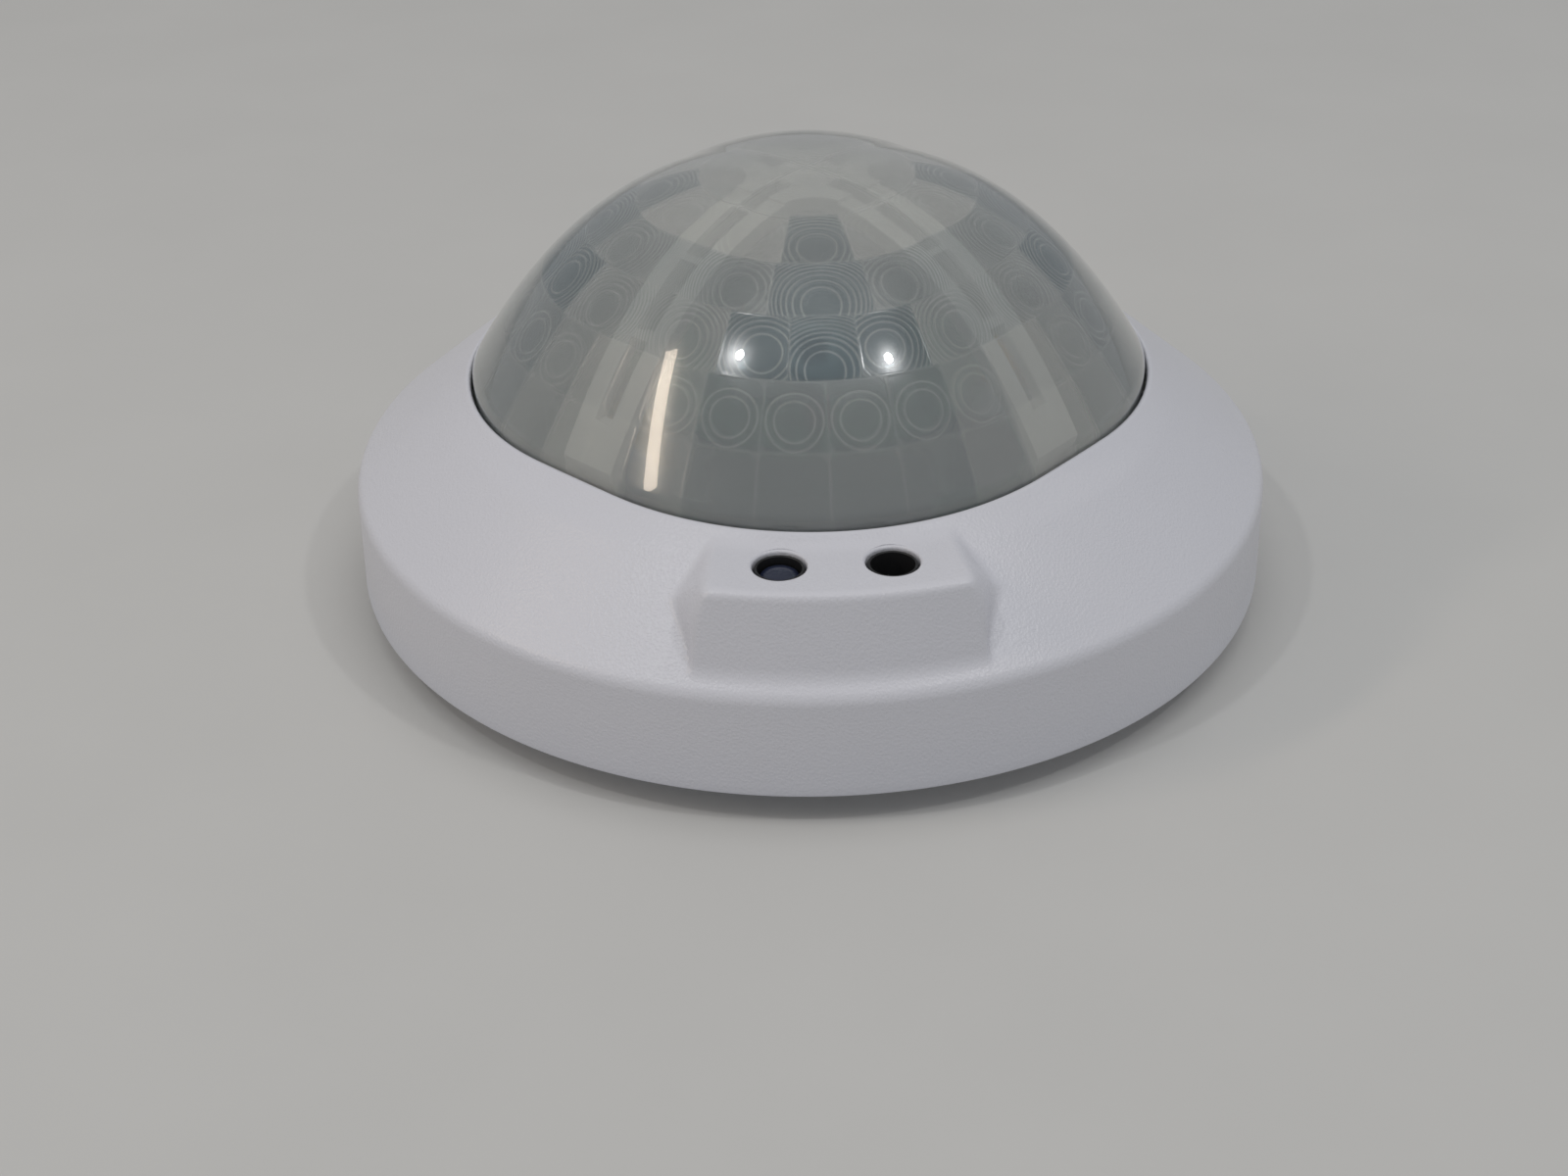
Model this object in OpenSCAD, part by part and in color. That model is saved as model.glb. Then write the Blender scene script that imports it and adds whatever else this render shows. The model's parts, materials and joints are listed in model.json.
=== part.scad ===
// Ceiling presence detector with a four-lobed lens dome, millimetres.
// Z = 0 is the ceiling face of the base plate, +Z points into the room, and the sensor pod is at -Y.

/* [Cover] */
// Outer diameter of the cover at its lower edge
cover_d = 120; // [118:1:122]
// Height of the gap between the ceiling and the cover's lower edge
ceiling_gap = 4; // [3.5:0.5:5]
// Height of the nearly straight skirt
skirt_h = 14.2; // [13.5:0.1:14.5]
// Wall thickness of the cover
cover_wall = 2.2; // [1.8:0.1:2.4]
// Radius of the edge between skirt and cone
shoulder_r = 2.2; // [1.5:0.1:2.5]
// Running gap between the cover and the lens
lens_gap = 0.35; // [0.3:0.05:0.5]

/* [Sensor pod] */
// Height of the pod's top above the cover's lower edge
pod_h = 25; // [24:0.5:25.5]
// Distance of the two holes from the middle, along the pod's centre line
pod_hole_y = 49.2; // [48.8:0.1:49.6]
// Distance between the two holes
pod_hole_pitch = 12.9; // [12:0.1:13.5]
// Diameter of the two holes
pod_hole_d = 6.3; // [6:0.1:6.6]

/* [Lens] */
// Height of the dome above the cover's opening
dome_h = 26; // [24:0.5:27]
// Distance of each lobe's centre from the middle
lobe_shift = 6.5; // [6:0.1:7]
// Radius of each lobe at the foot of the dome
lobe_r = 37.1; // [36.8:0.1:37.3]
// Wall thickness of the lens
lens_wall = 1; // [0.8:0.1:1.2]
// Width of each arched rib under the lens
rib_w = 8; // [7:0.5:10]
// Width of the slots along each rib
rib_slot_w = 2.6; // [2:0.2:4]

/* [Base] */
// Diameter of the base plate
base_d = 102; // [101:1:102]
// Thickness of the base plate's floor
base_floor = 2.4; // [2:0.1:2.6]
// Distance between the two fixing slots
slot_pitch = 60; // [58:1:62]
// Diameter of the cable opening
cable_d = 42; // [40:1:44]
// Angle that the head turns to come off the base
unlock_angle = 18; // [16:1:20]

/* [Controls] */
// Diameter of each setting knob
knob_d = 5; // [4.6:0.1:5]
// Travel of the test button
button_travel = 0.5; // [0.3:0.1:0.6]

/* [Hidden] */

$fn = 96;
eps = 0.01;
lobe_angles = [0, 90, 180, 270];

// Heights, counted from the ceiling
skirt_top = ceiling_gap + skirt_h;
opening_z = ceiling_gap + 27.1;
dome_z = opening_z + 0.1;
pod_top = ceiling_gap + pod_h;
back_z = 9.3;
back_wall = 1.6;
board_z = 13.6;
board_t = 1.6;
board_top = board_z + board_t;
flange_z = 17;
flange_t = 1.6;
flange_top = flange_z + flange_t;
seat_top = 23;
seal_t = 0.6;
lens_foot = seat_top + seal_t;
lens_flange_t = 1;
retainer_top = 25.3;
pir_board_z = 28.4;
pir_board_top = pir_board_z + board_t;

// Radii
cover_r = cover_d / 2;
skirt_draft = 0.25;
dome_r = lobe_r + lobe_shift;
base_r = base_d / 2;
base_rim = 2;
head_r = 54.4;
head_wall = 1.8;
board_r = 52;
flange_out = 1.6;

// Shape of the dome: its lobes draw together as the height grows
dome_power = 2.73;
gather_power = 0.474;
gather_limit = 0.4;
dome_steps = 12;
round_steps = 64;

// Slots in each rib, as angles above the dome's foot
rib_slots = [[7, 23.2], [25.2, 43.2], [45, 63.2], [65, 80]];

// Bayonet
bayonet_angles = [30, 150, 270];
bayonet_arc = 14;
hook_r = 45.6;
hook_wall = 2;
hook_foot = 1;
hook_z = 4.4;
hook_foot_t = 1.2;
bayonet_gap = 0.3;

// Housing screws
screw_angles = [90, 210, 330];
screw_pcd_r = 47.5;
screw_r = 1.2;
screw_fit = 0.05;
screw_head_r = 2.4;
boss_r = 3.4;
boss_foot_r = 4.8;
pillar_h = 3.4;

// Controls, by their angle from the pod towards +X
sensitivity_at = -37;
light_level_at = -24;
time_delay_at = 24;
test_button_at = 37;
control_r = 49.2;
control_body_r = 3.3;
knob_z = 16.4;
knob_top = 20;
running_gap = 0.05;
button_r = 1.75;

// Terminals
ways = 4;
way_pitch = 5.2;
block_x = ways * way_pitch + 1.2;
block_y = 12;
block_z = 3.2;
entry_y = -2.7;
driver_y = 2.9;
entry_r = 1.6;
driver_r = 2.1;
clamp_z = 7;
clamp_h = 4.4;

// Sensors in the dome
pir_tilt = 45;
pir_can_r = 4.1;
pir_can_h = 4.2;
holder_half = 10;
holder_top = 4;
holder_h = holder_half - holder_top;
holder_plinth = 1;

// ---- helpers ----

// Shift of a lobe whose outer reach from the middle is r
function lobe_shift_at(r) = r >= dome_r ? lobe_shift
    : min(lobe_shift * pow(r / dome_r, gather_power), gather_limit * r);

// Reach of the four-lobed outline at angle a, for a lobe reach of r
function outline_r(r, a) =
    let (fold = ((a + 45) % 90) - 45, shift = lobe_shift_at(r), own = r - shift)
    shift * cos(fold) + sqrt(max(own * own - pow(shift * sin(fold), 2), 0));

// Lobe reach and height of the dome's surface at step s of dome_steps, drawn in by inset
function dome_point(s, inset) =
    let (r = pow(cos(90 * s / dome_steps), 0.8))
    [(dome_r - inset) * r, dome_z + (dome_h - inset) * (1 - pow(r, dome_power))];

// Outline of the dome along a diagonal, drawn in by inset, from the foot to the top
function diagonal_curve(inset) = [for (s = [0:dome_steps])
    let (p = dome_point(s, inset)) [s == dome_steps ? 0 : outline_r(p[0], 45), p[1]]];

function mirrored(points) = [for (i = [len(points) - 1:-1:0]) [-points[i][0], points[i][1]]];

module four_lobes(r, h) {
    for (a = lobe_angles)
        rotate(a) translate([lobe_shift, 0]) cylinder(r = r, h = h, $fn = 128);
}

module lobed_ring(r_out, r_in, z, h) {
    translate([0, 0, z]) difference() {
        four_lobes(r_out, h);
        translate([0, 0, -1]) four_lobes(r_in, h + 2);
    }
}

module ring(r_out, r_in, z, h) {
    translate([0, 0, z]) difference() {
        cylinder(r = r_out, h = h);
        translate([0, 0, -1]) cylinder(r = r_in, h = h + 2);
    }
}

// Part of a ring, centred on angle a
module arc_wall(r_in, r_out, z, h, a, span) {
    rotate(a - span / 2) rotate_extrude(angle = span)
        translate([r_in, z]) square([r_out - r_in, h]);
}

// Places its children at angle a from the pod, at radius r
module beside_pod(a, r = control_r) {
    rotate(a - 90) translate([r, 0, 0]) children();
}

module box(x, y, z, at) {
    translate([at[0] - x / 2, at[1] - y / 2, at[2]]) cube([x, y, z]);
}

// ---- base ----

module base_plate() {
    rib_h = 1.6;
    rib_t = 1.2;
    rim_top = back_z - bayonet_gap;
    color("gainsboro") difference() {
        union() {
            ring(base_r, cable_d / 2, 0, base_floor);
            ring(base_r, base_r - base_rim, 0, rim_top);
            ring(cable_d / 2 + 1.6, cable_d / 2, 0, base_floor + rib_h);
            ring(36.6, 35.4, 0, base_floor + rib_h);
            for (a = [22.5:45:359]) rotate(a)
                translate([cable_d / 2 + 1, -rib_t / 2, 0])
                    cube([22, rib_t, base_floor + rib_h]);
            for (a = bayonet_angles) {
                lug_z = hook_z + hook_foot_t + bayonet_gap;
                arc_wall(hook_r + hook_wall + bayonet_gap, base_r - 1, lug_z, hook_foot_t, a,
                    bayonet_arc);
                arc_wall(hook_r + hook_wall + bayonet_gap, base_r - 1, base_floor - eps,
                    lug_z + hook_foot_t - base_floor, a - bayonet_arc / 2 - 1.6, 1.6);
            }
        }
        for (side = [-1, 1]) fixing_slot(side * slot_pitch / 2);
        for (a = [45:90:359]) rotate(a) translate([base_r, 0, -1])
            cylinder(r = 1.5, h = 2, $fn = 32);
    }
}

// Slot for a 4 mm screw, with its ends round, along X
module fixing_slot(x) {
    slot_r = 2.1;
    half_run = 1.9;
    for (end = [-1, 1]) translate([x + end * half_run, 0, -1]) cylinder(r = slot_r, h = 8);
    translate([x - half_run, -slot_r, -1]) cube([2 * half_run, 2 * slot_r, 8]);
}

// ---- back of the head ----

module head_back_cover() {
    color("gainsboro") difference() {
        union() {
            translate([0, 0, back_z]) cylinder(r = head_r, h = back_wall);
            ring(head_r, head_r - head_wall, back_z, flange_z - back_z);
            for (a = screw_angles) rotate(a) translate([screw_pcd_r, 0, back_z]) {
                cylinder(r = boss_r, h = flange_z - back_z);
                cylinder(r = boss_foot_r, h = board_z - back_z);
            }
            for (a = bayonet_angles) {
                arc_wall(hook_r, hook_r + hook_wall, hook_z, back_z - hook_z + eps, a,
                    bayonet_arc);
                arc_wall(hook_r, hook_r + hook_wall + hook_foot, hook_z, hook_foot_t, a,
                    bayonet_arc);
            }
            box(block_x + 4, block_y + 4, 2.4, [0, 0, back_z]);
        }
        box(block_x + 1, block_y + 1, 20, [0, 0, 0]);
        for (a = screw_angles) rotate(a) translate([screw_pcd_r, 0, 0]) {
            cylinder(r = screw_r + 0.3, h = 30, $fn = 32);
            translate([0, 0, back_z - 1]) cylinder(r = screw_head_r + 0.3, h = 3, $fn = 48);
        }
    }
}

module housing_screws() {
    head_h = 1.4;
    head_z = back_z + 2 - head_h;
    color("silver") for (a = screw_angles) rotate(a) translate([screw_pcd_r, 0, head_z])
        difference() {
            union() {
                cylinder(r = screw_head_r, h = head_h, $fn = 48);
                cylinder(r = screw_r, h = 10.4, $fn = 32);
            }
            for (turn = [0, 90]) rotate(turn) box(2.6, 0.6, 0.9, [0, 0, -eps]);
        }
}

// ---- boards and what they carry ----

module main_board() {
    color("darkgreen") difference() {
        translate([0, 0, board_z]) cylinder(r = board_r, h = board_t);
        for (a = screw_angles) rotate(a) translate([screw_pcd_r, 0, 0])
            cylinder(r = boss_r + 0.4, h = 40);
        for (a = screw_angles) rotate(a) box(10, 2 * boss_r + 0.8, 40, [screw_pcd_r + 5, 0, 0]);
    }
}

module terminal_block() {
    color("slategray") difference() {
        box(block_x, block_y, board_z - block_z, [0, 0, block_z]);
        for (i = [0:ways - 1]) translate([way_x(i), 0, 0]) {
            translate([0, entry_y, 0]) cylinder(r = entry_r, h = 11, $fn = 48);
            translate([0, driver_y, 0]) cylinder(r = driver_r, h = 11, $fn = 48);
            box(4.2, 9.4, clamp_h, [0, 0, clamp_z]);
        }
        for (i = [0:ways]) box(0.5, 1, 20, [(i - ways / 2) * way_pitch, -block_y / 2, 0]);
    }
}

function way_x(i) = (i - (ways - 1) / 2) * way_pitch;

module terminal_clamps() {
    color("goldenrod") for (i = [0:ways - 1]) translate([way_x(i), 0, 0]) difference() {
        box(4, 9.2, clamp_h - 0.2, [0, 0, clamp_z + 0.1]);
        translate([0, entry_y, 0]) cylinder(r = entry_r + 0.2, h = 20, $fn = 48);
        translate([0, driver_y, 0]) cylinder(r = screw_r + screw_fit, h = 20, $fn = 48);
    }
}

module terminal_screws() {
    screw_z = block_z + 0.6;
    color("silver") for (i = [0:ways - 1]) translate([way_x(i), driver_y, screw_z])
        difference() {
            union() {
                cylinder(r = driver_r - 0.15, h = 1.8, $fn = 48);
                cylinder(r = screw_r, h = 6.6, $fn = 32);
            }
            box(3.2, 0.6, 0.8, [0, 0, -eps]);
        }
}

module relay() {
    color("black") difference() {
        box(28, 10, 10.4, [0, -22, board_top]);
        for (side = [-1, 1]) translate([side * 13.9, -26.9, 0]) box(0.8, 0.8, 60, [0, 0, 0]);
    }
}

module transformer() {
    core = [12.4, 5.2, 9.6];
    color("khaki") union() {
        box(9.4, 13.6, 7, [-21, 6, board_top + 1]);
        box(12.4, 14, 1.1, [-21, 6, board_top]);
        box(core[0], core[1], core[2], [-21, 6, board_top + 0.6]);
    }
}

module film_capacitor() {
    color("gold") box(17.5, 7, 11, [20.5, 8, board_top]);
}

module electrolytic_capacitor() {
    color("midnightblue") translate([24, -6.5, board_top]) difference() {
        cylinder(r = 5, h = 11.5);
        ring(6, 4.75, 1.4, 0.8);
        for (turn = [0, 90]) rotate(turn) box(5, 0.4, 1, [0, 0, 11.2]);
    }
}

module varistor() {
    color("steelblue") translate([-25, -12, board_top + 4.9]) rotate([90, 0, 0])
        cylinder(r = 4.8, h = 4, center = true, $fn = 64);
}

module fuse() {
    color("saddlebrown") translate([14, 23, board_top]) cylinder(r = 4.2, h = 8, $fn = 64);
}

module controller_chip() {
    pitch = 1.27;
    color("dimgray") {
        box(9, 9, 1.5, [0, -4, board_top + 0.1]);
        for (i = [-3:3]) box(0.4, 11, 0.4, [i * pitch, -4, board_top]);
    }
}

module board_link() {
    pitch = 2.54;
    color("black") {
        box(5 * pitch, 2 * pitch, 8.6, [0, 10, board_top]);
        box(5 * pitch, 2 * pitch, 2.5, [0, 10, pir_board_z - 2.5]);
        for (i = [-2:2]) for (side = [-1, 1])
            box(0.64, 0.64, pir_board_z - board_top, [i * pitch, 10 + side * pitch / 2,
                board_top]);
    }
}

spacer_angles = [90, 210, 330];
spacer_r = 18;

module board_spacers() {
    color("white") for (a = spacer_angles) rotate(a)
        translate([spacer_r, 0, board_top]) cylinder(r = 2.5, h = pir_board_z - board_top);
}

module pir_board() {
    color("darkgreen") difference() {
        translate([0, 0, pir_board_z]) cylinder(r = 23, h = board_t);
        for (a = [0:90:270]) rotate(a + 45) translate([20, 0, 0])
            cylinder(r = 1.1, h = 60, $fn = 32);
    }
}

module pir_holder() {
    color("white") {
        box(2 * holder_half, 2 * holder_half, holder_plinth, [0, 0, pir_board_top]);
        translate([0, 0, pir_board_top + holder_plinth])
            linear_extrude(height = holder_h, scale = holder_top / holder_half)
                square(2 * holder_half, center = true);
    }
}

// Puts its children on a sloping face of the holder, their Z axis square to the face
module on_face(turn) {
    middle = (holder_half + holder_top) / 2;
    rotate(turn) translate([middle, 0, pir_board_top + holder_plinth + holder_h / 2])
        rotate([0, pir_tilt, 0]) children();
}

module pir_sensor(turn) {
    color("silver") on_face(turn) difference() {
        union() {
            cylinder(r = pir_can_r + 0.5, h = 0.6);
            cylinder(r = pir_can_r, h = pir_can_h);
        }
        box(4.2, 3.4, 2, [0, 0, pir_can_h - 0.5]);
    }
}

module pir_windows() {
    color("black") for (turn = lobe_angles) on_face(turn)
        box(4.1, 3.3, 0.4, [0, 0, pir_can_h - 0.5 + eps]);
}

module status_led() {
    color("red") translate([0, -18, pir_board_top]) {
        cylinder(r = 1.5, h = 2.6, $fn = 48);
        cylinder(r = 1.9, h = 0.8, $fn = 48);
        translate([0, 0, 2.6]) sphere(r = 1.5, $fn = 48);
    }
}

// ---- sensors under the pod ----

stand_top = 21;

module at_pod_hole(side) {
    translate([side * pod_hole_pitch / 2, -pod_hole_y, 0]) children();
}

module sensor_stands() {
    color("black") for (side = [-1, 1]) at_pod_hole(side) translate([0, 0, board_top])
        cylinder(r = 2.3, h = stand_top - board_top, $fn = 64);
}

// A round sensor with a domed top that ends at height top
module domed_sensor(side, r, top) {
    at_pod_hole(side) {
        translate([0, 0, stand_top]) cylinder(r = r, h = top - r - stand_top, $fn = 64);
        translate([0, 0, top - r]) sphere(r = r, $fn = 64);
    }
}

module light_sensor() {
    color("midnightblue") domed_sensor(-1, 2.5, pod_top - 0.8);
}

module ir_receiver() {
    color("black") domed_sensor(1, 2.3, pod_top - 3.4);
}

// Black block with a well around each sensor, so that stray light can't reach them. A collar on
// each well stands in the cover's hole.
module light_shield() {
    wall = 1.1;
    well_r = 2.56;
    collar_gap = 0.25;
    top = pod_top - 2.7;
    collar_top = pod_top - 0.35;
    back_y = -46.25;
    difference() {
        color("black") translate([0, 0, flange_top]) difference() {
            union() {
                for (side = [-1, 1]) at_pod_hole(side)
                    cylinder(r = well_r + wall, h = top - flange_top);
                box(pod_hole_pitch, 2 * (well_r + wall), top - flange_top, [0, -pod_hole_y, 0]);
                for (side = [-1, 1]) at_pod_hole(side)
                    cylinder(r = pod_hole_d / 2 - collar_gap, h = collar_top - flange_top);
            }
            for (side = [-1, 1]) at_pod_hole(side) cylinder(r = well_r, h = 30);
        }
        box(40, 10, 60, [0, back_y + 5, 0]);
    }
}

// ---- settings ----

module trimmer_bodies() {
    color("white") for (a = [sensitivity_at, light_level_at, time_delay_at]) beside_pod(a)
        translate([0, 0, board_top]) difference() {
            cylinder(r = control_body_r, h = 3.6);
            translate([0, 0, knob_z - board_top - 0.1])
                cylinder(r = knob_d / 2 + running_gap, h = 10);
        }
}

module knob(a) {
    top = knob_top - knob_z;
    color("darkorange") beside_pod(a) translate([0, 0, knob_z]) difference() {
        cylinder(r = knob_d / 2, h = top);
        box(3.4, 0.8, 2, [0, 0, top - 1]);
        box(1.2, 1.6, 2, [1.7, 0, top - 1]);
    }
}

module test_button_body() {
    color("dimgray") beside_pod(test_button_at) difference() {
        box(6, 6, 3.4, [0, 0, board_top]);
        translate([0, 0, board_top + 0.6]) cylinder(r = button_r + running_gap, h = 10);
    }
}

module test_button() {
    color("firebrick") beside_pod(test_button_at)
        translate([0, 0, board_top + 0.7 + button_travel]) cylinder(r = button_r, h = 4);
}

// ---- front of the head ----

module front_frame() {
    seat_out = lobe_r + flange_out;
    seat_in = lobe_r - 1.8;
    color("white") difference() {
        union() {
            translate([0, 0, flange_z]) difference() {
                cylinder(r = head_r, h = flange_t);
                translate([0, 0, -1]) four_lobes(seat_in - 2, 4);
            }
            lobed_ring(seat_out, seat_in, flange_z, seat_top - flange_z);
            for (a = screw_angles) rotate(a)
                translate([screw_pcd_r, 0, flange_z]) cylinder(r = 2.8, h = pillar_h);
        }
        for (a = [sensitivity_at, light_level_at, time_delay_at]) beside_pod(a)
            translate([0, 0, flange_z - 1]) cylinder(r = control_body_r + 0.3, h = 4);
        beside_pod(test_button_at) box(6.6, 6.6, 4, [0, 0, flange_z - 1]);
        for (side = [-1, 1]) at_pod_hole(side)
            translate([0, 0, flange_z - 1]) cylinder(r = 2.6, h = 4);
        for (a = screw_angles) rotate(a) translate([screw_pcd_r, 0, flange_z - 1])
            cylinder(r = screw_r + screw_fit, h = 10, $fn = 32);
    }
}

module lens_frame() {
    ring_out = lobe_r - 1.9;
    ring_in = lobe_r - 3.5;
    color("whitesmoke") union() {
        lobed_ring(ring_out, ring_in, flange_top, 7);
        difference() {
            union() {
                for (a = [45, 135]) rotate(a) rotate([90, 0, 0]) arch();
                crossing_web();
            }
            for (a = [45, 135]) rotate(a) rotate([90, 0, 0]) arch_slots();
        }
    }
}

// Plate that rounds off the four corners where the arches cross
module crossing_web() {
    corner_r = 4.5;
    reach = rib_w / 2 + corner_r;
    web_z = dome_z + dome_h - lens_wall - 2.6;
    rotate(45) translate([0, 0, web_z]) difference() {
        box(2 * reach, 2 * reach, 1.8, [0, 0, 0]);
        for (x = [-1, 1]) for (y = [-1, 1]) translate([x * reach, y * reach, -1])
            cylinder(r = corner_r, h = 4, $fn = 64);
    }
}

// One arch over the full width of the dome, in the XY plane
module arch() {
    outer = diagonal_curve(lens_wall + 0.6);
    inner = diagonal_curve(lens_wall + 2.6);
    foot = flange_top + 2;
    linear_extrude(height = rib_w, center = true) difference() {
        polygon(concat([[outline_r(dome_r - 2.6, 45) - 0.6, foot]], outer, mirrored(outer),
            [[-outline_r(dome_r - 2.6, 45) + 0.6, foot]]));
        polygon(concat([[inner[0][0], foot - 1]], inner, mirrored(inner),
            [[-inner[0][0], foot - 1]]));
    }
}

// Cutters for the slots that make a ladder of the arch
module arch_slots() {
    linear_extrude(height = rib_slot_w, center = true)
        for (side = [0, 1]) mirror([side, 0]) for (slot = rib_slots)
            slot_wedge(slot[0], slot[1]);
}

// A wedge between two angles above the foot of the dome, seen from its middle
module slot_wedge(low, high) {
    reach = 60;
    translate([0, dome_z]) polygon([[0, 0], [reach * cos(low), reach * sin(low)],
        [reach * cos(high), reach * sin(high)]]);
}

module lens_seal() {
    color("dimgray") lobed_ring(lobe_r + flange_out, lobe_r - lens_wall - 0.4, seat_top, seal_t);
}

// The lens is one wall, walked from its outer top down to the flange and up its inner side
module lens_dome() {
    outer = [for (s = [dome_steps - 1:-1:0]) dome_point(s, 0)];
    inner = [for (s = [0:dome_steps - 1]) dome_point(s, lens_wall)];
    flange_r = dome_r + flange_out;
    foot = [[dome_r, lens_foot + lens_flange_t], [flange_r, lens_foot + lens_flange_t],
        [flange_r, lens_foot], [dome_r - lens_wall, lens_foot]];
    rings = concat(outer, foot, inner);
    around = [for (i = [0:round_steps - 1]) i * 360 / round_steps];
    points = concat([[0, 0, dome_z + dome_h]],
        [for (p = rings) for (a = around) let (r = outline_r(p[0], a))
            [r * cos(a), r * sin(a), p[1]]],
        [[0, 0, dome_z + dome_h - lens_wall]]);
    last = len(points) - 1;
    function at(row, i) = 1 + row * round_steps + i % round_steps;
    faces = concat(
        [for (i = [0:round_steps - 1]) [0, at(0, i + 1), at(0, i)]],
        [for (row = [0:len(rings) - 2]) for (i = [0:round_steps - 1]) for (half = [0, 1])
            half == 0 ? [at(row, i), at(row, i + 1), at(row + 1, i + 1)]
                : [at(row, i), at(row + 1, i + 1), at(row + 1, i)]],
        [for (i = [0:round_steps - 1]) [last, at(len(rings) - 1, i), at(len(rings) - 1, i + 1)]]);
    color([0.74, 0.78, 0.75, 0.7]) polyhedron(points, faces);
}

module lens_retainer() {
    press_z = lens_foot + lens_flange_t + 0.05;
    rim_r = lobe_r + 2.4;
    color("white") union() {
        lobed_ring(rim_r, lobe_r + 0.3, press_z, retainer_top - press_z);
        lobed_ring(rim_r, lobe_r + 1.7, 20.6, retainer_top - 20.6);
    }
}

// ---- cover ----

// Half section of the cover's outer side, from the skirt's lower edge to the opening, drawn in
// by inset: the skirt, the rounded shoulder, the cone, and its soft upper edge
function cover_curve(inset) =
    let (foot = ceiling_gap, slope = 38.5, top_r = 44.4, edge_r = 3,
        shoulder = [cover_r - skirt_draft - shoulder_r, skirt_top - 0.6 - shoulder_r * 0.6],
        edge = [top_r - edge_r * sin(slope) - 0.2, opening_z - edge_r])
    concat([[cover_r - inset, foot]],
        [for (t = [0:6]) let (a = t * (90 - slope) / 6)
            shoulder + (shoulder_r - min(inset, shoulder_r - 0.1)) * [cos(a), sin(a)]
                - max(inset - shoulder_r + 0.1, 0) * [cos(a), sin(a)]],
        [for (t = [0:4]) let (a = 90 - slope + t * slope / 4)
            edge + (edge_r - inset) * [cos(a), sin(a)]]);

module pod(inset) {
    round_r = 2.4 - inset * 0.6;
    top = pod_top - inset;
    hull() {
        for (side = [-1, 1]) translate([side * (13.7 - inset - round_r), -40, top - round_r])
            sphere(r = round_r, $fn = 32);
        for (x = [-1, -0.5, 0, 0.5, 1])
            translate([x * (15.8 - inset - round_r),
                -sqrt(pow(56.4 - inset - round_r, 2) - pow(x * 13.4, 2)), top - round_r])
                sphere(r = round_r, $fn = 32);
        for (side = [-1, 1]) translate([side * (18 - inset - round_r), -40, 15])
            cylinder(r = round_r, h = 1, $fn = 32);
        for (x = [-1, -0.5, 0, 0.5, 1])
            translate([x * (18 - inset - round_r),
                -sqrt(pow(58.1 - inset - round_r, 2) - pow(x * 15.6, 2)), 15])
                cylinder(r = round_r, h = 1, $fn = 32);
    }
}

module cover_ring() {
    core_r = 34;
    hole_r = pod_hole_d / 2;
    color([0.87, 0.87, 0.89]) difference() {
        union() {
            rotate_extrude($fn = 128) polygon(concat(cover_curve(0), [[core_r, opening_z],
                [core_r, ceiling_gap]]));
            pod(0);
        }
        difference() {
            union() {
                rotate_extrude($fn = 128) polygon(concat([[cover_r - cover_wall, 0]],
                    cover_curve(cover_wall), [[0, opening_z - cover_wall], [0, 0]]));
                pod(cover_wall);
            }
            for (a = [20:40:359]) guide_rib(a);
        }
        translate([0, 0, -1]) four_lobes(lobe_r + lens_gap, 60);
        for (side = [-1, 1]) at_pod_hole(side) {
            cylinder(r = hole_r, h = 60, $fn = 64);
            translate([0, 0, pod_top - 0.3]) cylinder(r1 = hole_r, r2 = hole_r + 0.5, h = 0.5,
                $fn = 64);
        }
    }
}

// Rib inside the skirt that centres the cover on the head
module guide_rib(a) {
    rotate(a) box(5, 1.2, 10, [head_r + 0.4 + 2.5, 0, ceiling_gap + 2]);
}

base_plate();
head_back_cover();
housing_screws();
main_board();
terminal_block();
terminal_clamps();
terminal_screws();
relay();
transformer();
film_capacitor();
electrolytic_capacitor();
varistor();
fuse();
controller_chip();
board_link();
board_spacers();
pir_board();
pir_holder();
pir_sensor(270);  // pir_sensor_front
pir_sensor(0);  // pir_sensor_right
pir_sensor(90);  // pir_sensor_back
pir_sensor(180);  // pir_sensor_left
pir_windows();
status_led();
sensor_stands();
light_sensor();
ir_receiver();
light_shield();
trimmer_bodies();
knob(sensitivity_at);  // sensitivity_knob
knob(light_level_at);  // light_level_knob
knob(time_delay_at);  // time_delay_knob
test_button_body();
test_button();
front_frame();
lens_frame();
lens_seal();
lens_dome();
lens_retainer();
cover_ring();
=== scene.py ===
import json
import math

import bmesh
import bpy
from mathutils import Matrix, Vector


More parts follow.
